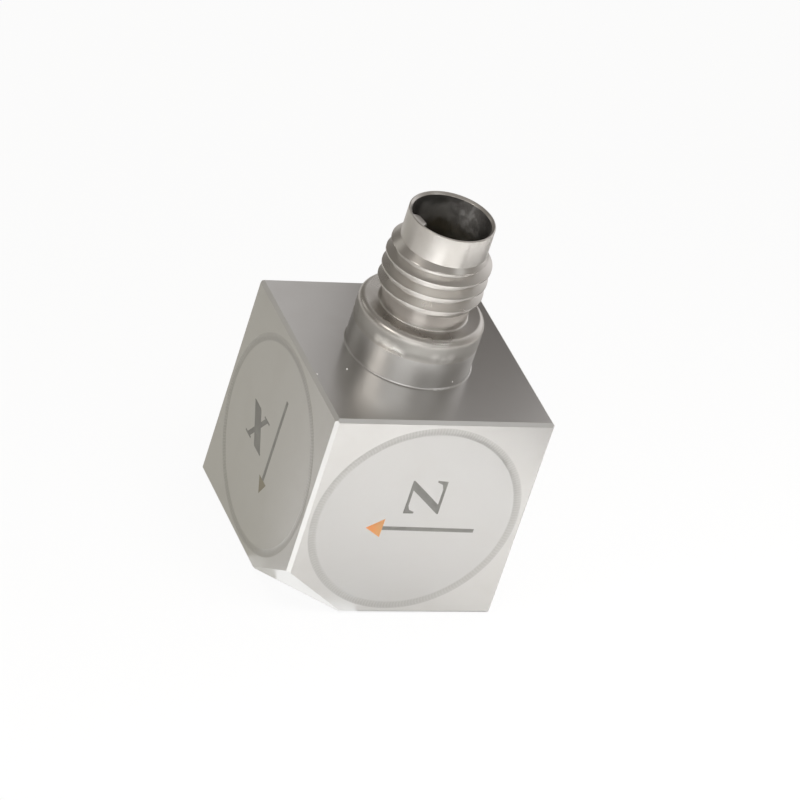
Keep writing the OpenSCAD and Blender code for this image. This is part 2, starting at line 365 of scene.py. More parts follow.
@dataclass
class Coat:
    """The surface of a metal while its layers are laid on.

    Attributes:
        graph: The material's graph.
        effects: The shared surface effects.
        place: Output with the place on the part, in metres.
        colour: Output with the metal's colour.
        roughness: Output with its roughness.
        depths: Height outputs with their depths in millimetres.
        metallic: Share of bare metal, as a number or an output.
    """

    graph: Graph
    effects: Effects
    place: NodeSocket
    colour: NodeSocket
    roughness: NodeSocket
    depths: Depths
    metallic: object = 1.0

    def lay(self, mask: NodeSocket, colour: Colour, dulling: float) -> None:
        """Lay a colour over the metal and add to its roughness, as far as a mask goes."""
        self.colour = self.graph.blend(mask, self.colour, colour)
        self.roughness = self.graph.math("MULTIPLY_ADD", mask, dulling, self.roughness)

    def near(self, centre: Place, reach: float) -> NodeSocket:
        """Give a mask that is 1 at a place and 0 beyond its reach, both in millimetres."""
        away = self.graph.vector("DISTANCE", self.place, [value * MM for value in centre], "Value")
        return self.graph.ramp(away, reach * MM, 0.0)

    def broken(self, mask: object, scale: float, amount: float, least: float) -> NodeSocket:
        """Break up a mask with smears.

        Args:
            mask: The mask.
            scale: Smears to a metre.
            amount: Strength of the smears.
            least: Share of the mask that is left between them.

        Returns:
            The broken mask.
        """
        smears = self.effects.handling.place(self.graph, Vector=self.place, Scale=scale, Amount=amount)
        return self.graph.math("MULTIPLY", mask, self.graph.math("ADD", smears["Mask"], least), clamp=True)


@dataclass(frozen=True)
class SatinMetal:
    """A metal with a fine grain, a drift of tone and finger smears.

    Attributes:
        name: Name of the material.
        colour: Colour of the clean metal.
        smeared: Colour where it has been handled.
        roughness: Roughness of the clean metal.
        smear_roughness: Roughness under a smear.
        grain: Grains to a metre.
        grain_depth: Depth of the grain in millimetres.
        lines: Tool lines to a metre, or 0 for none.
        line_depth: Depth of the tool lines in millimetres.
        smear_amount: Strength of the smears.
    """

    name: str
    colour: Colour
    smeared: Colour
    roughness: float
    smear_roughness: float
    grain: float = 22000.0
    grain_depth: float = 0.0006
    lines: float = 0.0
    line_depth: float = 0.0
    smear_amount: float = 0.35

    def make(self, effects: Effects) -> Material:
        """Build the material.

        Args:
            effects: The shared surface effects.

        Returns:
            The material.
        """
        material, graph, shader = new_material(self.name)
        place = graph.coordinates("Object")
        grain = effects.grain.place(graph, Vector=place, Grain=self.grain, Drift=METAL_DRIFT)
        smear = effects.handling.place(graph, Vector=place, Scale=SMEAR_SCALE, Amount=self.smear_amount)
        shade = graph.math("ADD", smear["Mask"],
                           graph.math("MULTIPLY", grain["Tone"], METAL_DRIFT_SHARE))
        gap = self.smear_roughness - self.roughness
        coat = Coat(graph, effects, place, graph.blend(shade, self.colour, self.smeared),
                    graph.math("MULTIPLY_ADD", shade, gap, self.roughness),
                    [(grain["Height"], self.grain_depth)])
        if self.lines:
            lines = effects.lines.place(graph, Vector=place, Lines=self.lines)
            coat.depths.append((lines["Height"], self.line_depth))
        self.dress(coat)
        graph.put(coat.metallic, shader.inputs["Metallic"])
        graph.put(coat.colour, shader.inputs["Base Color"])
        graph.put(coat.roughness, shader.inputs["Roughness"])
        relief(graph, shader, coat.depths)
        return material

    def dress(self, coat: Coat) -> None:
        """Lay further layers over the plain metal, which has none."""


@dataclass(frozen=True)
class WeldedMetal(SatinMetal):
    """Satin metal of a round cover, with the ripple of its weld seam.

    Attributes:
        to_face: Rotation in radians that turns the part's axes to the face's own.
        centre: Centre of the face in millimetres.
        seam_radius: Radius of the seam's middle in millimetres.
        seam_width: Width of the seam in millimetres.
        seam_depth: Depth of its ripples in millimetres.
        seam_colour: Colour of the seam.
        seam_share: How far that colour covers the metal between pulses.
        pulse_share: How much further it covers the metal on a pulse.
        seam_dulling: Roughness that the metal gains on the seam.
        pulses: Weld pulses round the seam.
    """

    to_face: Place = (0.0, 0.0, 0.0)
    centre: Place = (0.0, 0.0, 0.0)
    seam_radius: float = 6.35
    seam_width: float = 0.62
    seam_depth: float = 0.006
    seam_colour: Colour = (0.44, 0.435, 0.42)
    seam_share: float = 0.38
    pulse_share: float = 0.3
    seam_dulling: float = 0.08
    pulses: float = 210.0

    def dress(self, coat: Coat) -> None:
        """Lay the seam over the plain metal."""
        graph = coat.graph
        turn = graph.node("ShaderNodeMapping", vector_type="POINT")
        graph.put(graph.vector("SUBTRACT", coat.place, [value * MM for value in self.centre]),
                  turn.inputs["Vector"])
        turn.inputs["Rotation"].default_value = self.to_face
        seam = coat.effects.ripple.place(graph, Vector=turn.outputs["Vector"],
                                         Radius=self.seam_radius * MM,
                                         Width=self.seam_width * MM, Pulses=self.pulses)
        cover = graph.math("MULTIPLY_ADD", seam["Height"], self.pulse_share, self.seam_share)
        coat.colour = graph.blend(graph.math("MULTIPLY", seam["Mask"], cover), coat.colour,
                                  self.seam_colour)
        coat.roughness = graph.math("MULTIPLY_ADD", seam["Mask"], self.seam_dulling, coat.roughness)
        coat.depths.append((seam["Height"], self.seam_depth))


@dataclass(frozen=True)
class HeatBandedMetalWithPaintedLight(SatinMetal):
    """Satin metal with a dulled band at the weld, a darker band of painted shade on the neck and painted
    highlights on the weld.

    Attributes:
        bands: Height and half width of each band in millimetres, its colour and the roughness it gains;
            the neck's darker band is painted shade.
        painted_highlights: Places in millimetres where a painted highlight lies on the weld, with their
            reach and share.
        painted_highlight_colour: Colour of the painted highlights.
        painted_highlight_dulling: Roughness that they gain.
    """

    bands: tuple[tuple[float, float, Colour, float], ...] = ()
    painted_highlights: tuple[tuple[Place, float, float], ...] = ()
    painted_highlight_colour: Colour = (0.97, 0.955, 0.93)
    painted_highlight_dulling: float = -0.2

    def dress(self, coat: Coat) -> None:
        """Lay the bands, the neck's painted shade among them, and the painted highlights over the plain
        metal.
        """
        graph = coat.graph
        height = graph.split(coat.place)["Z"]
        for middle, half, colour, dulling in self.bands:
            away = graph.math("ABSOLUTE", graph.math("SUBTRACT", height, middle * MM))
            coat.lay(graph.ramp(away, half * MM, BAND_CORE * half * MM), colour, dulling)
        # Painted highlights: a near-white colour laid on the weld's lumps in place of glints.
        bright = 0.0
        for centre, reach, share in self.painted_highlights:
            bright = graph.math("MULTIPLY_ADD", coat.near(centre, reach), share, bright)
        coat.lay(coat.broken(bright, scale=1500.0, amount=0.5, least=0.75), self.painted_highlight_colour,
                 self.painted_highlight_dulling)


@dataclass(frozen=True)
class SmudgedMetal(SatinMetal):
    """Satin metal with one dry, pale smudge.

    Attributes:
        smudge_at: Middle of the smudge in millimetres.
        smudge_reach: How far it spreads in millimetres.
        smudge_colour: Its colour.
        smudge_dulling: Roughness that the metal gains under it.
    """

    smudge_at: Place = (0.0, 0.0, 0.0)
    smudge_reach: float = 0.8
    smudge_colour: Colour = (0.5, 0.5, 0.5)
    smudge_dulling: float = 0.2

    def dress(self, coat: Coat) -> None:
        """Lay the smudge over the plain metal."""
        near = coat.near(self.smudge_at, self.smudge_reach)
        mask = coat.broken(near, scale=1900.0, amount=0.8, least=0.45)
        coat.lay(mask, self.smudge_colour, self.smudge_dulling)
        coat.metallic = coat.graph.math("SUBTRACT", 1.0, mask)


@dataclass(frozen=True)
class Mineral:
    """A dull solid such as ceramic, laminate, epoxy, paint or cable insulation.

    Attributes:
        name: Name of the material.
        colour: Its main colour.
        second: Colour of its patches.
        roughness: Roughness all over.
        grain: Grains to a metre.
        grain_depth: Depth of the grain in millimetres.
    """

    name: str
    colour: Colour
    second: Colour
    roughness: float
    grain: float = 12000.0
    grain_depth: float = 0.002

    def make(self, effects: Effects) -> Material:
        """Build the material.

        Args:
            effects: The shared surface effects.

        Returns:
            The material.
        """
        material, graph, shader = new_material(self.name)
        grain = effects.grain.place(graph, Vector=graph.coordinates("Object"), Grain=self.grain,
                                    Drift=MINERAL_DRIFT)
        shader.inputs["Roughness"].default_value = self.roughness
        graph.put(graph.blend(grain["Tone"], self.colour, self.second), shader.inputs["Base Color"])
        relief(graph, shader, [(grain["Height"], self.grain_depth)])
        return material


TITANIUM = (0.625, 0.620, 0.612)
TITANIUM_SMEARED = (0.560, 0.548, 0.530)
SHELL_METAL = (0.625, 0.607, 0.582)

HOUSING_FINISH = SatinMetal("Blasted housing metal", TITANIUM, TITANIUM_SMEARED, 0.30, 0.38,
                            smear_amount=0.15)
# The socket's second band darkens the neck's colour: painted shade under the thread. The bright spots are
# painted highlights on the weld's lumps.
CONNECTOR_FINISH = HeatBandedMetalWithPaintedLight("Turned socket metal", SHELL_METAL, (0.53, 0.505, 0.475), 0.27, 0.38,
                               grain_depth=0.0005, lines=9000.0, line_depth=0.0012,
                               bands=((16.4, 0.75, (0.47, 0.46, 0.44), 0.2),
                                      (17.92, 0.6, (0.385, 0.36, 0.336), 0.04)),
                               # Painted highlights on the weld's lumps.
                               painted_highlights=(((-3.28, -1.95, 16.22), 0.45, 0.6),
                                             ((-2.98, -2.42, 16.12), 0.55, 1.0),
                                             ((-2.62, -2.8, 16.02), 0.6, 1.0),
                                             ((-2.3, -3.07, 15.98), 0.5, 0.9),
                                             ((-0.35, -3.8, 16.22), 0.42, 0.3),
                                             ((0.2, -3.82, 16.1), 0.35, 0.2),
                                             ((0.72, -3.75, 16.2), 0.45, 0.35)))
BORE_FINISH = SmudgedMetal("Darkened socket bore", (0.36, 0.35, 0.345), (0.64, 0.63, 0.62), 0.38,
                           0.60, smear_amount=0.7, smudge_at=(1.95, 1.36, 22.85),
                           smudge_reach=1.7, smudge_colour=(0.42, 0.42, 0.42))
SCREW_FINISH = SatinMetal("Screw steel", (0.50, 0.50, 0.49), (0.36, 0.35, 0.34), 0.28, 0.42,
                          lines=12000.0, line_depth=0.001)
MASS_FINISH = SatinMetal("Sintered heavy metal", (0.36, 0.35, 0.34), (0.27, 0.26, 0.25), 0.36, 0.5,
                         lines=9000.0, line_depth=0.001)
ELECTRODE_FINISH = SatinMetal("Bronze electrode", (0.72, 0.52, 0.34), (0.55, 0.38, 0.25), 0.3, 0.44)
CONTACT_FINISH = SatinMetal("Plated contact gold", (0.86, 0.66, 0.30), (0.62, 0.45, 0.22), 0.2, 0.36,
                            lines=14000.0, line_depth=0.0008)
ALUMINA_FINISH = Mineral("Alumina", (0.86, 0.85, 0.81), (0.79, 0.77, 0.72), 0.55)
PIEZO_FINISH = Mineral("Piezo ceramic", (0.42, 0.36, 0.26), (0.33, 0.28, 0.20), 0.6)
GLASS_FINISH = Mineral("Seal glass", (0.035, 0.06, 0.05), (0.05, 0.08, 0.065), 0.12,
                       grain_depth=0.0006)
LEAD_FINISH = Mineral("Lead insulation", (0.78, 0.77, 0.74), (0.70, 0.69, 0.66), 0.4)
BOARD_FINISH = Mineral("Board laminate", (0.03, 0.16, 0.07), (0.04, 0.20, 0.09), 0.4)
CHIP_FINISH = Mineral("Chip epoxy", (0.025, 0.025, 0.027), (0.04, 0.04, 0.04), 0.5)
INK_FINISH = Mineral("Grey marking", (0.235, 0.235, 0.225), (0.285, 0.285, 0.27), 0.5)
ORANGE_FINISH = Mineral("Orange arrow paint", (0.84, 0.33, 0.10), (0.78, 0.40, 0.16), 0.45)
# The same orange arrow paint, darkened: painted shade for the left face.
SHADED_ARROW_FINISH = Mineral("Arrow paint in painted shade", (0.31, 0.28, 0.21), (0.27, 0.25, 0.195), 0.5)
DUST_FINISH = Mineral("Pale dust", (0.85, 0.85, 0.84), (0.78, 0.78, 0.77), 0.8)


# Mesh helpers


def add_object(name: str, mesh: BMesh, *materials: Material) -> Object:
    """Turn a built mesh into an object of the scene.

    Args:
        name: The object's name.
        mesh: The mesh in metres, freed here.
        materials: Its materials in the order of their face indices.

    Returns:
        The new object.
    """
    data = bpy.data.meshes.new(name)
    mesh.to_mesh(data)
    mesh.free()
    for material in materials:
        data.materials.append(material)
    made = bpy.data.objects.new(name, data)
    bpy.context.scene.collection.objects.link(made)
    return made


def new_piece(name: str, mesh: BMesh, materials: list[Material],
              smooth_deg: float | None = None) -> Object:
    """Turn a built mesh into a piece that rides on the part.

    Args:
        name: The piece's name.
        mesh: The mesh in millimetres, freed here.
        materials: Its materials in the order of their face indices.
        smooth_deg: Edges up to this angle are shaded smooth; flat shading if not given.

    Returns:
        The new object.
    """
    bmesh.ops.recalc_face_normals(mesh, faces=mesh.faces)
    bmesh.ops.scale(mesh, vec=(MM, MM, MM), verts=mesh.verts)
    piece = add_object(name, mesh, *materials)
    if smooth_deg is not None:
        piece.data.shade_smooth()
        piece.data.set_sharp_from_angle(angle=math.radians(smooth_deg))
    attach(piece, ROOT)
    log.info("piece %s: %d faces", name, len(piece.data.polygons))
    return piece


def dress_node(name: str, material: Material) -> None:
    """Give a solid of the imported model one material."""
    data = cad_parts[name].data
    data.materials.clear()
    data.materials.append(material)
    log.info("solid %s: %s", name, material.name)


def grid_faces(mesh: BMesh, rows: list[list[BMVert]], closed: bool,
               index: Callable[[int, int], int] = lambda row, column: 0) -> None:
    """Fill the quads between rows of points.

    Args:
        mesh: The mesh the points are in.
        rows: Rows with the same number of points.
        closed: Whether each row runs round to its own start.
        index: Material index of the face above a row, right of a column.
    """
    count = len(rows[0])
    for number, (low, high) in enumerate(zip(rows, rows[1:])):
        for i in range(count if closed else count - 1):
            j = (i + 1) % count
            made = mesh.faces.new((low[i], low[j], high[j], high[i]))
            made.material_index = index(number, i)


def extrude_outline(mesh: BMesh, outline: Outline, to_part: Matrix, high: float, index: int = 0) -> None:
    """Add a closed flat prism that stands on its outline's plane.

    Args:
        mesh: The mesh to add to.
        outline: Corners in order, in millimetres.
        to_part: Placement of the outline's plane on the part.
        high: Height of the prism.
        index: Material index of its faces.
    """
    foot = [mesh.verts.new(to_part @ Vector((x, y, 0.0))) for x, y in outline]
    top = [mesh.verts.new(to_part @ Vector((x, y, high))) for x, y in outline]
    faces = [mesh.faces.new(foot[::-1]), mesh.faces.new(top)]
    for i, start in enumerate(foot):
        j = (i + 1) % len(foot)
        faces.append(mesh.faces.new((start, foot[j], top[j], top[i])))
    for made in faces:
        made.material_index = index


def polar(radius: float, angle: float) -> Point:
    """Give the point at a radius and an angle in radians."""
    return radius * math.cos(angle), radius * math.sin(angle)


def quarter(steps: int) -> list[Point]:
    """Give cosine and sine at even steps over a quarter turn."""
    return [polar(1.0, math.radians(90 * i / steps)) for i in range(steps + 1)]


def turn_from(direction_deg: float, angle: float) -> float:
    """Give the turn from a direction to an angle, between minus and plus half a turn in radians."""
    return (angle - math.radians(direction_deg) + math.pi) % math.tau - math.pi


# Covers and their marks


def serif(left: float, right: float, top: float) -> Outline:
    """Give a thin bar across the end of a letter's stroke."""
    foot = top - 0.1
    return [(left, top), (right, top), (right, foot), (left, foot)]


# Strokes of the letters on a square from -1 to 1, with their tops up
SERIFS = [serif(-1.0, -0.2, 1.0), serif(0.35, 1.0, 1.0)]
STROKES: dict[Letter, list[Outline]] = {
    Letter.X: [*SERIFS,
               [(-0.98, 0.95), (-0.16, 0.95), (0.98, -0.95), (0.16, -0.95)],
               [(0.5, 0.95), (0.82, 0.95), (-0.5, -0.95), (-0.82, -0.95)],
               serif(-1.0, -0.35, -0.9), serif(0.2, 1.0, -0.9)],
    Letter.Y: [*SERIFS,
               [(-0.86, 0.95), (-0.34, 0.95), (0.22, -0.1), (0.22, -0.95), (-0.22, -0.95), (-0.22, -0.1)],
               [(0.6, 0.95), (0.78, 0.95), (0.18, -0.16), (0.08, -0.02)],
               serif(-0.5, 0.5, -0.9)],
    Letter.Z: [[(-0.98, 1.0), (1.0, 1.0), (1.0, 0.92), (-0.42, -0.83), (0.5, -0.83), (0.78, -0.72),
                (0.92, -0.4), (1.02, -0.4), (0.96, -1.0), (-1.0, -1.0), (-1.0, -0.92), (0.42, 0.83),
                (-0.5, 0.83), (-0.76, 0.72), (-0.88, 0.42), (-0.98, 0.42)]],
}


@dataclass
class AxisMark:
    """A letter and an arrow that show one measuring axis.

    Attributes:
        letter: The letter.
        letter_at: Middle of the letter on its face.
        letter_turn: Turn of the letter in degrees, anticlockwise.
        letter_size: Width and height of the letter.
        tail: Start of the arrow on its face.
        tip: Point of the arrow.
        head_length: Length of the arrow's head.
        head_width: Width of the head.
        shaft_width: Width of the shaft.
        film: How far the marking stands proud.
        stroke_step: How much lower each further stroke of the letter lies.
        head_share: How far the head stands proud, as a share of the film.
    """

    letter: Letter
    letter_at: Point
    letter_turn: float
    letter_size: Point
    tail: Point
    tip: Point
    head_length: float
    head_width: float
    shaft_width: float = 0.27
    film: float = 0.008
    stroke_step: float = 0.0004
    head_share: float = 1.1

    def build(self, name: str, to_part: Matrix, ink: Material, paint: Material) -> None:
        """Build the marking as a thin film on its cover.

        Args:
            name: Name of the piece.
            to_part: Placement of the face's plane on the part.
            ink: Material of letter and shaft.
            paint: Material of the arrow's head.
        """
        mesh = bmesh.new()
        wide, tall = self.letter_size
        turn = Matrix.Rotation(math.radians(self.letter_turn), 4, "Z")
        stand = Matrix.Translation((*self.letter_at, 0.0)) @ turn
        for number, outline in enumerate(STROKES[self.letter]):
            sized = [(x * wide / 2, y * tall / 2) for x, y in outline]
            extrude_outline(mesh, sized, to_part @ stand, self.film - self.stroke_step * number)
        tail, tip = Vector(self.tail), Vector(self.tip)
        along = (tip - tail).normalized()
        aside = Vector((-along.y, along.x))
        neck = tip - along * self.head_length
        edge, barb = aside * self.shaft_width / 2, aside * self.head_width / 2
        shaft = [tuple(corner) for corner in (tail + edge, tail - edge, neck - edge, neck + edge)]
        head = [tuple(corner) for corner in (tip, neck + barb, neck - barb)]
        extrude_outline(mesh, shaft, to_part, self.film)
        extrude_outline(mesh, head, to_part, self.film * self.head_share, index=1)
        new_piece(name, mesh, [ink, paint])


@dataclass
class Cover:
    """A round cover welded into one face of the cube, with its axis mark.

    Attributes:
        face: The face it closes.
        centre: Centre of the face in millimetres.
        right: Direction to the right on the face, seen from outside.
        up: Direction up on the face.
        mark: Its marking.
        head_finish: Finish of the arrow's head.
        metal: Colour of its clean metal.
    """

    face: Face
    centre: Place
    right: Place
    up: Place
    mark: AxisMark
    head_finish: Mineral
    metal: Colour = TITANIUM

    def plane(self) -> Matrix:
        """Give the placement of the face's plane on the part."""
        right, up = Vector(self.right), Vector(self.up)
        turn = Matrix((right, up, right.cross(up))).transposed().to_4x4()
        return Matrix.Translation(self.centre) @ turn

    def build(self, effects: Effects, ink: Material) -> None:
        """Dress the cover and build its marking.

        Args:
            effects: The shared surface effects.
            ink: Material of the letter and the arrow's shaft.
        """
        to_face = self.plane().to_3x3().inverted().to_euler("XYZ")
        finish = WeldedMetal(f"Welded {self.face.value} cover", self.metal, TITANIUM_SMEARED,
                             roughness=0.32, smear_roughness=0.38, smear_amount=0.12,
                             to_face=tuple(to_face), centre=self.centre)
        dress_node(f"{self.face.value}_cover", finish.make(effects))
        self.mark.build(f"{self.face.value}_axis_mark", self.plane(), ink,
                        self.head_finish.make(effects))


COVERS = (
    Cover(Face.FRONT, (0.0, -7.0, 7.0), (1.0, 0.0, 0.0), (0.0, 0.0, 1.0),
          AxisMark(Letter.Z, (0.21, 1.6), 90.0, (2.4, 2.25), (4.01, -0.8), (-2.98, -0.65), 1.06, 1.33),
          ORANGE_FINISH, (0.575, 0.573, 0.570)),
    # The left arrow's head takes the darkened orange: painted shade.
    Cover(Face.LEFT, (-7.0, 0.0, 7.0), (0.0, -1.0, 0.0), (0.0, 0.0, 1.0),
          AxisMark(Letter.X, (-1.75, -0.03), 180.0, (2.6, 2.3), (0.8, 3.67), (0.78, -2.97), 0.95, 1.1),
          SHADED_ARROW_FINISH),
    Cover(Face.BOTTOM, (0.0, 0.0, 0.0), (0.0, 1.0, 0.0), (1.0, 0.0, 0.0),
          AxisMark(Letter.Y, (0.21, 1.5), 90.0, (2.4, 2.25), (3.5, -0.9), (-3.5, -0.9), 1.15, 1.4),
          ORANGE_FINISH),
)


# Housing


@dataclass
class Housing:
    """The cube with its boss and the tapped hole in its right face.

    Attributes:
        half: Half the side of the cube.
        hole_radius: Radius of the drilled hole.
        hole_pitch: Pitch of the tapped thread.
        hole_start: Depth of the hole at which the thread starts.
        hole_length: Length of the tapped thread.
        crest: How far the thread's crests stand into the hole.
        sink: How far its foot lies inside the wall.
        flank: Half the width of the crests and of their foot, as shares of the pitch.
        turn_steps: Points in one turn of the thread.
        fade_steps: Points over which it runs out at both ends.
        specks: Places of pale dust on the top face and on the boss.
        speck_radius: Radius of a speck.
        speck_lump: How uneven a speck is, as a share of its radius.
        speck_noise: Lumps to a millimetre on a speck.
    """

    half: float = 7.0
    hole_radius: float = 1.25
    hole_pitch: float = 0.5
    hole_start: float = 0.35
    hole_length: float = 3.1
    crest: float = 0.14
    sink: float = 0.03
    flank: Point = (0.12, 0.45)
    turn_steps: int = 48
    fade_steps: int = 12
    specks: tuple[Place, ...] = ((-4.6, -1.97, 14.0), (-6.7, -2.54, 14.0), (1.46, -3.51, 14.39))
    speck_radius: float = 0.05
    speck_lump: float = 0.5
    speck_noise: float = 20.0

    def build(self, effects: Effects, dust: Material) -> None:
        """Dress the cube, tap its hole and lay the dust.

        Args:
            effects: The shared surface effects.
            dust: Material of the specks.
        """
        metal = HOUSING_FINISH.make(effects)
        dress_node("housing", metal)
        self.tap(metal)
        self.dust(dust)

    def tap(self, metal: Material) -> None:
        """Build the crests of the tapped thread.

        Args:
            metal: Material of the thread.
        """
        mesh = bmesh.new()
        steps = self.hole_length / self.hole_pitch * self.turn_steps
        top, foot = self.flank
        section = ((-foot, self.sink), (-top, -self.crest), (top, -self.crest), (foot, self.sink))
        rows = []
        for step in range(round(steps) + 1):
            angle = math.tau * step / self.turn_steps
            fade = min(1.0, step / self.fade_steps, (steps - step) / self.fade_steps)
            row = []
            for shift, rise in section:
                depth = self.hole_start + (step / self.turn_steps + 0.5 + shift) * self.hole_pitch
                y, z = polar(self.hole_radius + self.sink + (rise - self.sink) * max(0.0, fade), angle)
                row.append(mesh.verts.new((self.half - depth, y, self.half + z)))
            rows.append(row)
        grid_faces(mesh, rows, closed=True)
        mesh.faces.new(rows[0])
        mesh.faces.new(rows[-1])
        new_piece("mounting_hole_thread", mesh, [metal], smooth_deg=30.0)

    def dust(self, dust: Material) -> None:
        """Lay a few uneven specks on the housing.

        Args:
            dust: Material of the specks.
        """
        mesh = bmesh.new()
        for spot in self.specks:
            made = bmesh.ops.create_icosphere(mesh, subdivisions=2, radius=self.speck_radius)["verts"]
            for vert in made:
                lump = 1.0 + self.speck_lump * noise.noise(vert.co * self.speck_noise + Vector(spot))
                vert.co = vert.co * lump + Vector(spot)
        new_piece("dust_specks", mesh, [dust], smooth_deg=60.0)


# Socket

# Shares of the bevel at the socket's mouth, inwards and down, with both edges eased
MOUTH = ((0.0, 0.0), (0.06, 0.02), (0.12, 0.07), (0.88, 0.83), (0.95, 0.91), (0.99, 0.97), (1.0, 1.04))


@dataclass(frozen=True)
class WeldLump:
    """A soft lump on the weld bead.

    Attributes:
        direction: Its direction from the axis in degrees.
        lift: How far its top lies above the middle of the bead.
        reach: How far it spreads round the bead.
        rise: How far it stands out.
        above: How far it spreads upwards.
        below: How far it spreads downwards.
    """

    direction: float
    lift: float
    reach: float
    rise: float
    above: float = 0.13
    below: float = 0.26

    def height(self, angle: float, radius: float, lift: float) -> float:
        """Give the lump's rise at a place on the bead, steep above and gentle below.

        Args:
            angle: Direction from the axis in radians.
            radius: Radius of the bead.
            lift: Height above the middle of the bead.

        Returns:
            The rise in millimetres.
        """
        turn = turn_from(self.direction, angle)
        away = (lift - self.lift) / (self.above if lift > self.lift else self.below)
        return self.rise * math.exp(-(turn * radius / self.reach) ** 2 - away * away)


@dataclass
class Socket:
    """The turned shell of the socket, with its helical thread, weld bead and key.

    Attributes:
        spigot_radius: Radius of the part inside the boss.
        tail_radius: Radius of the bore below the glass seal.
        flange_radius: Radius of the flange.
        flange_round: Rounding of the flange's upper edge.
        seat: How far the flange's lower edge is set in and down under the bead.
        neck_radius: Radius of the neck.
        neck_foot: Rounding at the neck's foot.
        core_radius: Radius under the thread, inside its roots.
        core_step: Length of the step from the neck to that radius.
        core_sink: How far the ends of the thread lie below that radius.
        crest_radius: Radius of the thread's crests.
        root_radius: Radius of the thread's roots.
        pitch: Rise of the thread in one turn.
        crest_z: Height of one crest on the right side of the part.
        lead_in: Slope of the chamfer at the thread's lower end.
        lead_out: Slope of the chamfer at its upper end.
        turn_steps: Points in one turn of the thread.
        half_section: Steps of its section on either side of the crest.
        shroud_radius: Radius of the plain shroud.
        bore_radius: Radius of the bore.
        rim_round: Rounding of the rim.
        mouth_bevel: Bevel at the mouth of the bore.
        key_angle: Direction of the key in degrees.
        key_width: Width of the key.
        key_height: How far the key stands into the bore.
        edge: Width of the rows that keep edges in the bore sharp.
        bead_half: Half the width of the weld bead.
        bead_crown: How far the bead stands out.
        bead_steps: Rows on either side of its middle.
        bead_lump: How far its surface rises and falls.
        bead_noise: Rises to a millimetre round the bead and along the axis.
        lumps: The lumps on the bead.
        heights: Heights of the turned steps by name.
        segments: Points round the shell.
    """

    spigot_radius: float = 2.68
    tail_radius: float = 2.0
    flange_radius: float = 3.8
    flange_round: float = 0.42
    seat: Point = (0.1, 0.02)
    neck_radius: float = 2.65
    neck_foot: float = 0.1
    core_radius: float = 2.6
    core_step: float = 0.1
    core_sink: float = 0.05
    crest_radius: float = 3.125
    root_radius: float = 2.62
    pitch: float = 0.907
    crest_z: float = 19.18
    lead_in: float = 1.3
    lead_out: float = 0.9
    turn_steps: int = 160
    half_section: int = 16
    shroud_radius: float = 2.6
    bore_radius: float = 2.38
    rim_round: float = 0.07
    mouth_bevel: float = 0.14
    key_angle: float = 192.0
    key_width: float = 1.1
    key_height: float = 0.4
    edge: float = 0.01
    bead_half: float = 0.45
    bead_crown: float = 0.008
    bead_steps: int = 9
    bead_lump: float = 0.006
    bead_noise: Point = (1.8, 2.0)
    lumps: tuple[WeldLump, ...] = (
        WeldLump(205.0, -0.2, 0.3, 0.010), WeldLump(218.0, -0.16, 0.28, 0.030),
        WeldLump(226.0, -0.16, 0.28, 0.036), WeldLump(234.0, -0.2, 0.28, 0.028),
        WeldLump(248.0, 0.06, 0.2, 0.008), WeldLump(264.0, 0.0, 0.15, 0.014),
        WeldLump(273.0, -0.15, 0.18, 0.016), WeldLump(282.0, 0.0, 0.16, 0.016),
        WeldLump(296.0, 0.1, 0.2, 0.010), WeldLump(20.0, -0.1, 0.24, 0.024),
        WeldLump(68.0, 0.0, 0.2, 0.018), WeldLump(115.0, -0.12, 0.28, 0.026),
        WeldLump(160.0, -0.05, 0.22, 0.018))
    heights: dict[str, float] = field(default_factory=lambda: {
        "spigot": 14.75, "boss": 16.25, "glass": 17.0, "shoulder": 17.3, "key": 18.4,
        "thread": 18.3, "shroud": 21.75, "rim": 23.6})
    segments: int = 288

    def build(self, effects: Effects) -> None:
        """Build the shell and dress the pieces of the socket.

        Args:
            effects: The shared surface effects.
        """
        mesh = bmesh.new()
        self.turn_shell(mesh)
        self.cut_thread(mesh)
        metal = CONNECTOR_FINISH.make(effects)
        shell = new_piece("socket_shell", mesh, [metal, BORE_FINISH.make(effects)],
                          smooth_deg=38.0)
        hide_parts("connector_shell")
        dress_node("connector_shell", metal)
        dress_node("glass_seal", GLASS_FINISH.make(effects))
        gold = CONTACT_FINISH.make(effects)
        for number in range(1, 5):
            dress_node(f"contact_pin_{number}", gold)

    def outer_profile(self) -> Outline:
        """Give radius and height up the outside, from the spigot's foot to the rim."""
        h = self.heights
        low = h["boss"] - self.bead_half
        profile = [(self.tail_radius, h["spigot"]), (self.spigot_radius, h["spigot"]),
                   (self.spigot_radius, low),
                   (self.flange_radius - self.seat[0], low - self.seat[1])]
        for i in range(2 * self.bead_steps + 1):
            share = i / self.bead_steps - 1
            crown = self.bead_crown * (1 + math.cos(math.pi * share)) / 2
            profile.append((self.flange_radius + crown, h["boss"] + self.bead_half * share))
        middle, level = self.flange_radius - self.flange_round, h["shoulder"] - self.flange_round
        profile += [(middle + self.flange_round * c, level + self.flange_round * s)
                    for c, s in quarter(8)]
        profile += [(self.neck_radius + self.neck_foot * (1 - s), h["shoulder"] + self.neck_foot * (1 - c))
                    for c, s in quarter(4)]
        profile += [(self.neck_radius, h["thread"]), (self.core_radius, h["thread"] + self.core_step),
                    (self.shroud_radius, h["shroud"])]
        return profile + [(self.shroud_radius - self.rim_round * (1 - c),
                           h["rim"] - self.rim_round * (1 - s)) for c, s in quarter(6)]

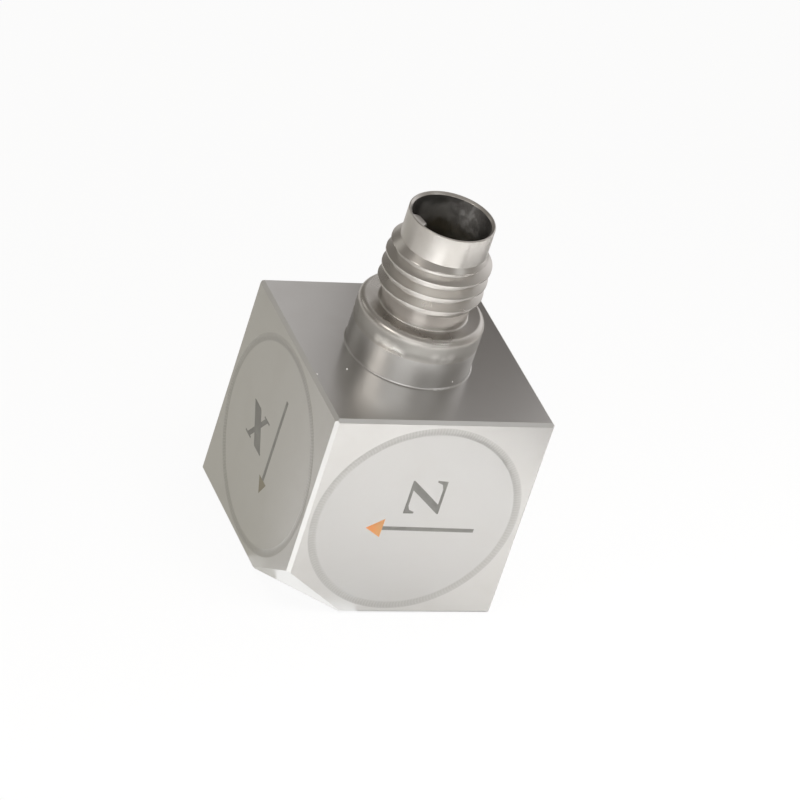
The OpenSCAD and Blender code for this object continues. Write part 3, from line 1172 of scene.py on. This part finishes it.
    def bore_profile(self) -> Outline:
        """Give radius and height down the inside, from the rim to the glass seal."""
        h = self.heights
        profile = [(self.bore_radius + self.mouth_bevel * (1 - along), h["rim"] - self.mouth_bevel * down)
                   for along, down in MOUTH]
        levels = (h["rim"] - self.mouth_bevel - 2 * self.edge, h["key"] + self.edge, h["key"], h["glass"])
        return profile + [(self.bore_radius, z) for z in levels] + [(self.tail_radius, h["glass"])]

    def key_rise(self, angle: float) -> float:
        """Give how far the key stands into the bore.

        Args:
            angle: Direction from the axis in radians.

        Returns:
            The rise in millimetres, 0 beside the key.
        """
        share = abs(turn_from(self.key_angle, angle)) * self.bore_radius / (self.key_width / 2)
        return self.key_height * math.sqrt(1 - share ** 4) if share < 1 else 0.0

    def lump(self, angle: float, z: float) -> float:
        """Give the rise of the weld bead's uneven surface.

        Args:
            angle: Direction from the axis in radians.
            z: Height on the part.

        Returns:
            The rise in millimetres.
        """
        lift = z - self.heights["boss"]
        if abs(lift) >= self.bead_half:
            return 0.0
        around = Vector((math.cos(angle), math.sin(angle), 0.0)) * self.flange_radius
        wide, tall = self.bead_noise
        rise = self.bead_lump * noise.noise(around * wide + Vector((0.0, 0.0, z * tall)))
        rise += sum(lump.height(angle, self.flange_radius, lift) for lump in self.lumps)
        return rise * (1 - (lift / self.bead_half) ** 2)

    def turn_shell(self, mesh: BMesh) -> None:
        """Turn the shell's closed section round the axis.

        Args:
            mesh: The mesh to add to.
        """
        outer, bore = self.outer_profile(), self.bore_profile()
        rows = []
        for number, (radius, z) in enumerate(outer + bore):
            inside = number >= len(outer)
            row = []
            for i in range(self.segments):
                angle = math.tau * i / self.segments
                reach = radius
                if inside and z > self.heights["key"]:
                    reach -= self.key_rise(angle)
                elif not inside and radius >= self.flange_radius:
                    reach += self.lump(angle, z)
                row.append(mesh.verts.new((*polar(reach, angle), z)))
            rows.append(row)
        rows.append(rows[0])
        dark_from = len(outer) + len(MOUTH) - 1
        grid_faces(mesh, rows, closed=True, index=lambda row, column: int(
            row >= dark_from and not self.key_rise(math.tau * (column + 0.5) / self.segments)))

    def thread_radius(self, shift: float, z: float) -> float:
        """Give the thread's radius, with flanks at 60 degrees and crests an eighth of the pitch wide.

        Args:
            shift: Distance along the axis from the crest.
            z: Height on the part.

        Returns:
            The radius, held down by the chamfers at both ends.
        """
        flank = self.crest_radius - (abs(shift) - self.pitch / 16) * math.sqrt(3)
        radius = max(self.root_radius, min(self.crest_radius, flank))
        low = self.neck_radius + (z - self.heights["thread"]) * self.lead_in
        high = self.shroud_radius + (self.heights["shroud"] - z) * self.lead_out
        return max(self.core_radius - self.core_sink, min(radius, low, high))

    def cut_thread(self, mesh: BMesh) -> None:
        """Sweep the thread's ridge up its helix.

        Args:
            mesh: The mesh to add to.
        """
        steps, half = self.turn_steps, self.half_section
        start = self.crest_z - self.pitch * 2
        count = round((self.heights["shroud"] + self.pitch - start) / self.pitch * steps)
        rows = []
        for step in range(count + 1):
            row = []
            for i in range(-half, half + 1):
                shift = i / (2 * half) * self.pitch
                z = start + step / steps * self.pitch + shift
                point = polar(self.thread_radius(shift, z), math.tau * step / steps)
                row.append(mesh.verts.new((*point, z)))
            rows.append(row)
        grid_faces(mesh, rows, closed=False)


# Sealed inside


@dataclass
class Inside:
    """The sensing elements behind the covers and the circuit under the socket.

    Attributes:
        chips: Amplifier chips on the board.
    """

    chips: int = 3

    def dress(self, effects: Effects) -> None:
        """Give every sealed solid its finish.

        Args:
            effects: The shared surface effects.
        """
        finishes = {"insulator": ALUMINA_FINISH, "electrode": ELECTRODE_FINISH,
                    "piezo_ring": PIEZO_FINISH, "seismic_mass": MASS_FINISH,
                    "preload_screw": SCREW_FINISH, "lead": LEAD_FINISH}
        for part, finish in finishes.items():
            material = finish.make(effects)
            for face in Face:
                dress_node(f"{face.value}_{part}", material)
        dress_node("circuit_board", BOARD_FINISH.make(effects))
        epoxy = CHIP_FINISH.make(effects)
        for number in range(1, self.chips + 1):
            dress_node(f"amplifier_chip_{number}", epoxy)


# Studio

ON_FLOOR = 0.02


def facing(at: Place, aim: Place | None) -> Quaternion:
    """Give the turn that faces a lamp or a card to a place.

    Args:
        at: Where it is.
        aim: The place it faces, or none for straight down.

    Returns:
        The turn.
    """
    away = Vector(at) - Vector(aim or (at[0], at[1], 0.0))
    return away.to_track_quat("Z", "Y")


@dataclass(frozen=True)
class Softbox:
    """A square soft lamp.

    Attributes:
        name: Its name.
        at: Its place in millimetres.
        side: Its side in millimetres.
        watts: Its power.
        spread_deg: Angle of its beam.
        colour: Colour of its light.
        aim: The place it faces in millimetres, or none for straight down.
        mirrored: Whether it shows in reflections.
    """

    name: str
    at: Place
    side: float
    watts: float
    spread_deg: float = 180.0
    colour: Colour = (1.0, 1.0, 1.0)
    aim: Place | None = None
    mirrored: bool = False

    def hang(self) -> None:
        """Hang the lamp, out of the camera's sight."""
        lamp = bpy.data.lights.new(self.name, "AREA")
        lamp.size = self.side * MM
        lamp.energy = self.watts
        lamp.spread = math.radians(self.spread_deg)
        lamp.color = self.colour
        box = bpy.data.objects.new(self.name, lamp)
        box.location = Vector(self.at) * MM
        box.rotation_euler = facing(self.at, self.aim).to_euler()
        box.visible_camera = False
        box.visible_glossy = self.mirrored
        bpy.context.scene.collection.objects.link(box)


@dataclass(frozen=True)
class Card:
    """A card that shows only in reflections, to darken or to brighten them.

    Attributes:
        name: Its name.
        at: Its middle in millimetres.
        size: Its width and height in millimetres.
        tone: Its colour in reflections.
        aim: The place it faces in millimetres, or none for straight down.
        turn_deg: Its turn about the line to that place in degrees.
    """

    name: str
    at: Place
    size: Point
    tone: Colour
    aim: Place | None = None
    turn_deg: float = 0.0

    def stand(self) -> None:
        """Stand the card in the studio."""
        mesh = bmesh.new()
        bmesh.ops.create_grid(mesh, x_segments=1, y_segments=1, size=0.5 * MM)
        material, _, shader = new_material(self.name)
        shader.inputs["Base Color"].default_value = (0.0, 0.0, 0.0, 1.0)
        shader.inputs["Emission Color"].default_value = (*self.tone, 1.0)
        shader.inputs["Emission Strength"].default_value = 1.0
        card = add_object(self.name, mesh, material)
        card.location = Vector(self.at) * MM
        card.scale = (*self.size, 1.0)
        turn = Quaternion((0.0, 0.0, 1.0), math.radians(self.turn_deg))
        card.rotation_euler = (facing(self.at, self.aim) @ turn).to_euler()
        card.visible_camera = False
        card.visible_diffuse = False
        card.visible_shadow = False


@dataclass
class Studio:
    """Floor, light and camera.

    Attributes:
        camera_at: Place of the camera in millimetres.
        looks_along: Direction the camera looks in.
        lean_deg: How far the camera is rolled.
        lens: Focal length in millimetres.
        frame_width: Width of the camera's frame in millimetres.
        floor_radius: Radius of the floor in metres.
        floor_drop: How far the floor lies below the part, in metres.
        floor_colour: Colour of the floor.
        floor_white: How white the floor is to the camera.
        floor_gleam: How white it is in reflections.
        softboxes: The lamps.
        room_left: Light of the room behind the part, to the left.
        room_right: Light of the room behind the part, to the right.
        room_front: Light of the room in front of the part.
        rightwards: Direction from the room's left to its right.
        frontwards: Direction from the room's back to its front.
        cards: The cards round the part.
    """

    camera_at: Place = (-135.73, -233.154, 180.07)
    looks_along: Place = (0.42737507, 0.73108182, -0.53185517)
    lean_deg: float = 18.59
    lens: float = 244.17
    frame_width: float = 36.0
    floor_radius: float = 1.5
    floor_drop: float = 0.00002
    floor_colour: Colour = (0.86, 0.86, 0.855)
    floor_white: float = 0.93
    floor_gleam: float = 0.1
    softboxes: tuple[Softbox, ...] = (
        Softbox("front_softbox", (-18.0, -48.0, 90.0), 60.0, 0.0060, 100.0),
        Softbox("spot_softbox", (-24.0, -45.0, 120.0), 50.0, 0.008, 50.0),
        Softbox("side_softbox", (42.0, -38.0, 90.0), 60.0, 0.0222, 72.0),
        Softbox("window_softbox", (-250.0, -68.0, 178.0), 120.0, 0.10, colour=(1.0, 0.95, 0.89),
                aim=(0.0, 0.0, 15.0), mirrored=True),
        Softbox("overhead_softbox", (0.0, -80.0, 450.0), 500.0, 0.55, colour=(1.0, 0.95, 0.88),
                aim=(0.0, 0.0, 10.0)))
    room_left: Colour = (0.22, 0.205, 0.185)
    room_right: Colour = (1.0, 0.975, 0.965)
    room_front: Colour = (0.36, 0.34, 0.316)
    rightwards: Place = (0.9, -0.4, 0.0)
    frontwards: Place = (0.05, -0.86, 0.5)
    cards: tuple[Card, ...] = (
        Card("dark_flag", (22.4, 31.4, 31.5), (15.0, 26.0), (0.13, 0.117, 0.108), (0.0, 0.0, 14.0)),
        Card("back_card", (-39.0, 44.0, 40.0), (24.0, 24.0), (0.62, 0.6, 0.56), (-7.0, 0.0, 14.0)),
        Card("edge_card", (43.0, -60.0, 87.0), (34.0, 22.0), (1.1, 1.1, 1.08), (0.0, -7.0, 14.0)),
        Card("corner_card", (-18.0, -13.4, ON_FLOOR), (23.0, 11.0), (1.5, 1.5, 1.48), turn_deg=30.0),
        Card("shroud_card", (-26.8, -29.7, ON_FLOOR), (20.0, 18.0), (1.4, 1.39, 1.37), turn_deg=48.0),
        Card("glint_card", (-6.3, -11.4, 16.1), (6.0, 3.0), (2.1, 2.09, 2.06), (-1.3, -2.25, 22.6)),
        Card("right_flag", (28.7, -24.1, ON_FLOOR), (17.0, 32.0), (0.36, 0.35, 0.34), turn_deg=320.0),
        Card("back_flag", (35.0, 6.0, ON_FLOOR), (14.0, 32.0), (0.3, 0.29, 0.28), turn_deg=10.0),
        Card("left_flag", (-27.6, 27.6, ON_FLOOR), (10.0, 34.0), (0.3, 0.29, 0.27), turn_deg=135.0),
        Card("front_card", (-53.0, -92.0, 70.0), (110.0, 60.0), (1.15, 1.13, 1.1), (0.0, 0.0, 17.0)),
        Card("flange_card", (36.0, -111.0, 45.0), (84.0, 42.0), (0.9, 0.89, 0.87), (0.0, 0.0, 17.0)),
        Card("left_card", (-14.5, 20.0, ON_FLOOR), (50.0, 12.5), (0.53, 0.512, 0.457), turn_deg=120.3),
        Card("bounce_card", (-4.9, -4.9, ON_FLOOR), (6.6, 6.6), (1.2, 1.2, 1.19)))

    def build(self) -> None:
        """Set up the whole studio."""
        bpy.context.scene.view_settings.view_transform = "Standard"
        self.floor()
        self.world()
        for softbox in self.softboxes:
            softbox.hang()
        for card in self.cards:
            card.stand()
        self.camera()

    def floor(self) -> None:
        """Lay the pale floor, white to the camera but for the part's shadow."""
        material, graph, shader = new_material("Pale floor")
        shader.inputs["Base Color"].default_value = (*self.floor_colour, 1.0)
        shader.inputs["Roughness"].default_value = 1.0
        shader.inputs["Specular IOR Level"].default_value = 0.0
        path = graph.node("ShaderNodeLightPath").outputs
        gleam = graph.math("MULTIPLY", path["Is Glossy Ray"], self.floor_gleam)
        seen = graph.math("MULTIPLY_ADD", path["Is Camera Ray"], self.floor_white, gleam, clamp=True)
        white = graph.node("ShaderNodeEmission")
        mixed = graph.node("ShaderNodeMixShader")
        graph.put(seen, mixed.inputs["Fac"])
        graph.put(shader.outputs["BSDF"], mixed.inputs[1])
        graph.put(white.outputs["Emission"], mixed.inputs[2])
        graph.put(mixed.outputs["Shader"], graph.tree.nodes["Material Output"].inputs["Surface"])
        mesh = bmesh.new()
        bmesh.ops.create_circle(mesh, cap_ends=True, segments=96, radius=self.floor_radius)
        floor = add_object("studio_floor", mesh, material)
        floor.location.z = -self.floor_drop

    def world(self) -> None:
        """Light the room: bright on the right and dim on the left behind the part, even in front."""
        world = bpy.data.worlds.new("Studio room")
        bpy.context.scene.world = world
        world.use_nodes = True
        graph = Graph(world.node_tree)
        way = graph.coordinates("Generated")
        right, front = [graph.vector("DOT_PRODUCT", way, Vector(direction).normalized(), "Value")
                        for direction in (self.rightwards, self.frontwards)]
        behind = graph.blend(graph.ramp(right, -0.5, 0.5), self.room_left, self.room_right)
        room = graph.blend(graph.ramp(front, -0.4, 0.6), behind, self.room_front)
        seen = graph.node("ShaderNodeLightPath").outputs["Is Camera Ray"]
        background = graph.tree.nodes["Background"]
        graph.put(graph.blend(seen, room, (1.0, 1.0, 1.0)), background.inputs["Color"])

    def camera(self) -> None:
        """Place the camera at the photograph's angle."""
        data = bpy.data.cameras.new("photo_camera")
        data.lens = self.lens
        data.sensor_width = self.frame_width
        data.clip_start = 0.01
        camera = bpy.data.objects.new("photo_camera", data)
        back = -Vector(self.looks_along).normalized()
        right = Vector((0.0, 0.0, 1.0)).cross(back).normalized()
        upright = Matrix((right, back.cross(right), back)).transposed()
        lean = Matrix.Rotation(math.radians(self.lean_deg), 3, "Z")
        camera.matrix_world = (Matrix.Translation(Vector(self.camera_at) * MM)
                               @ (upright @ lean).to_4x4())
        bpy.context.scene.collection.objects.link(camera)
        bpy.context.scene.camera = camera


def main() -> None:
    """Build and dress the sensor, then set up the studio."""
    logging.basicConfig(level=logging.INFO, format="%(name)s: %(message)s")
    effects = Effects()
    Housing().build(effects, DUST_FINISH.make(effects))
    ink = INK_FINISH.make(effects)
    for cover in COVERS:
        cover.build(effects, ink)
    Socket().build(effects)
    Inside().dress(effects)
    Studio().build()


if __name__ == "__main__":
    main()
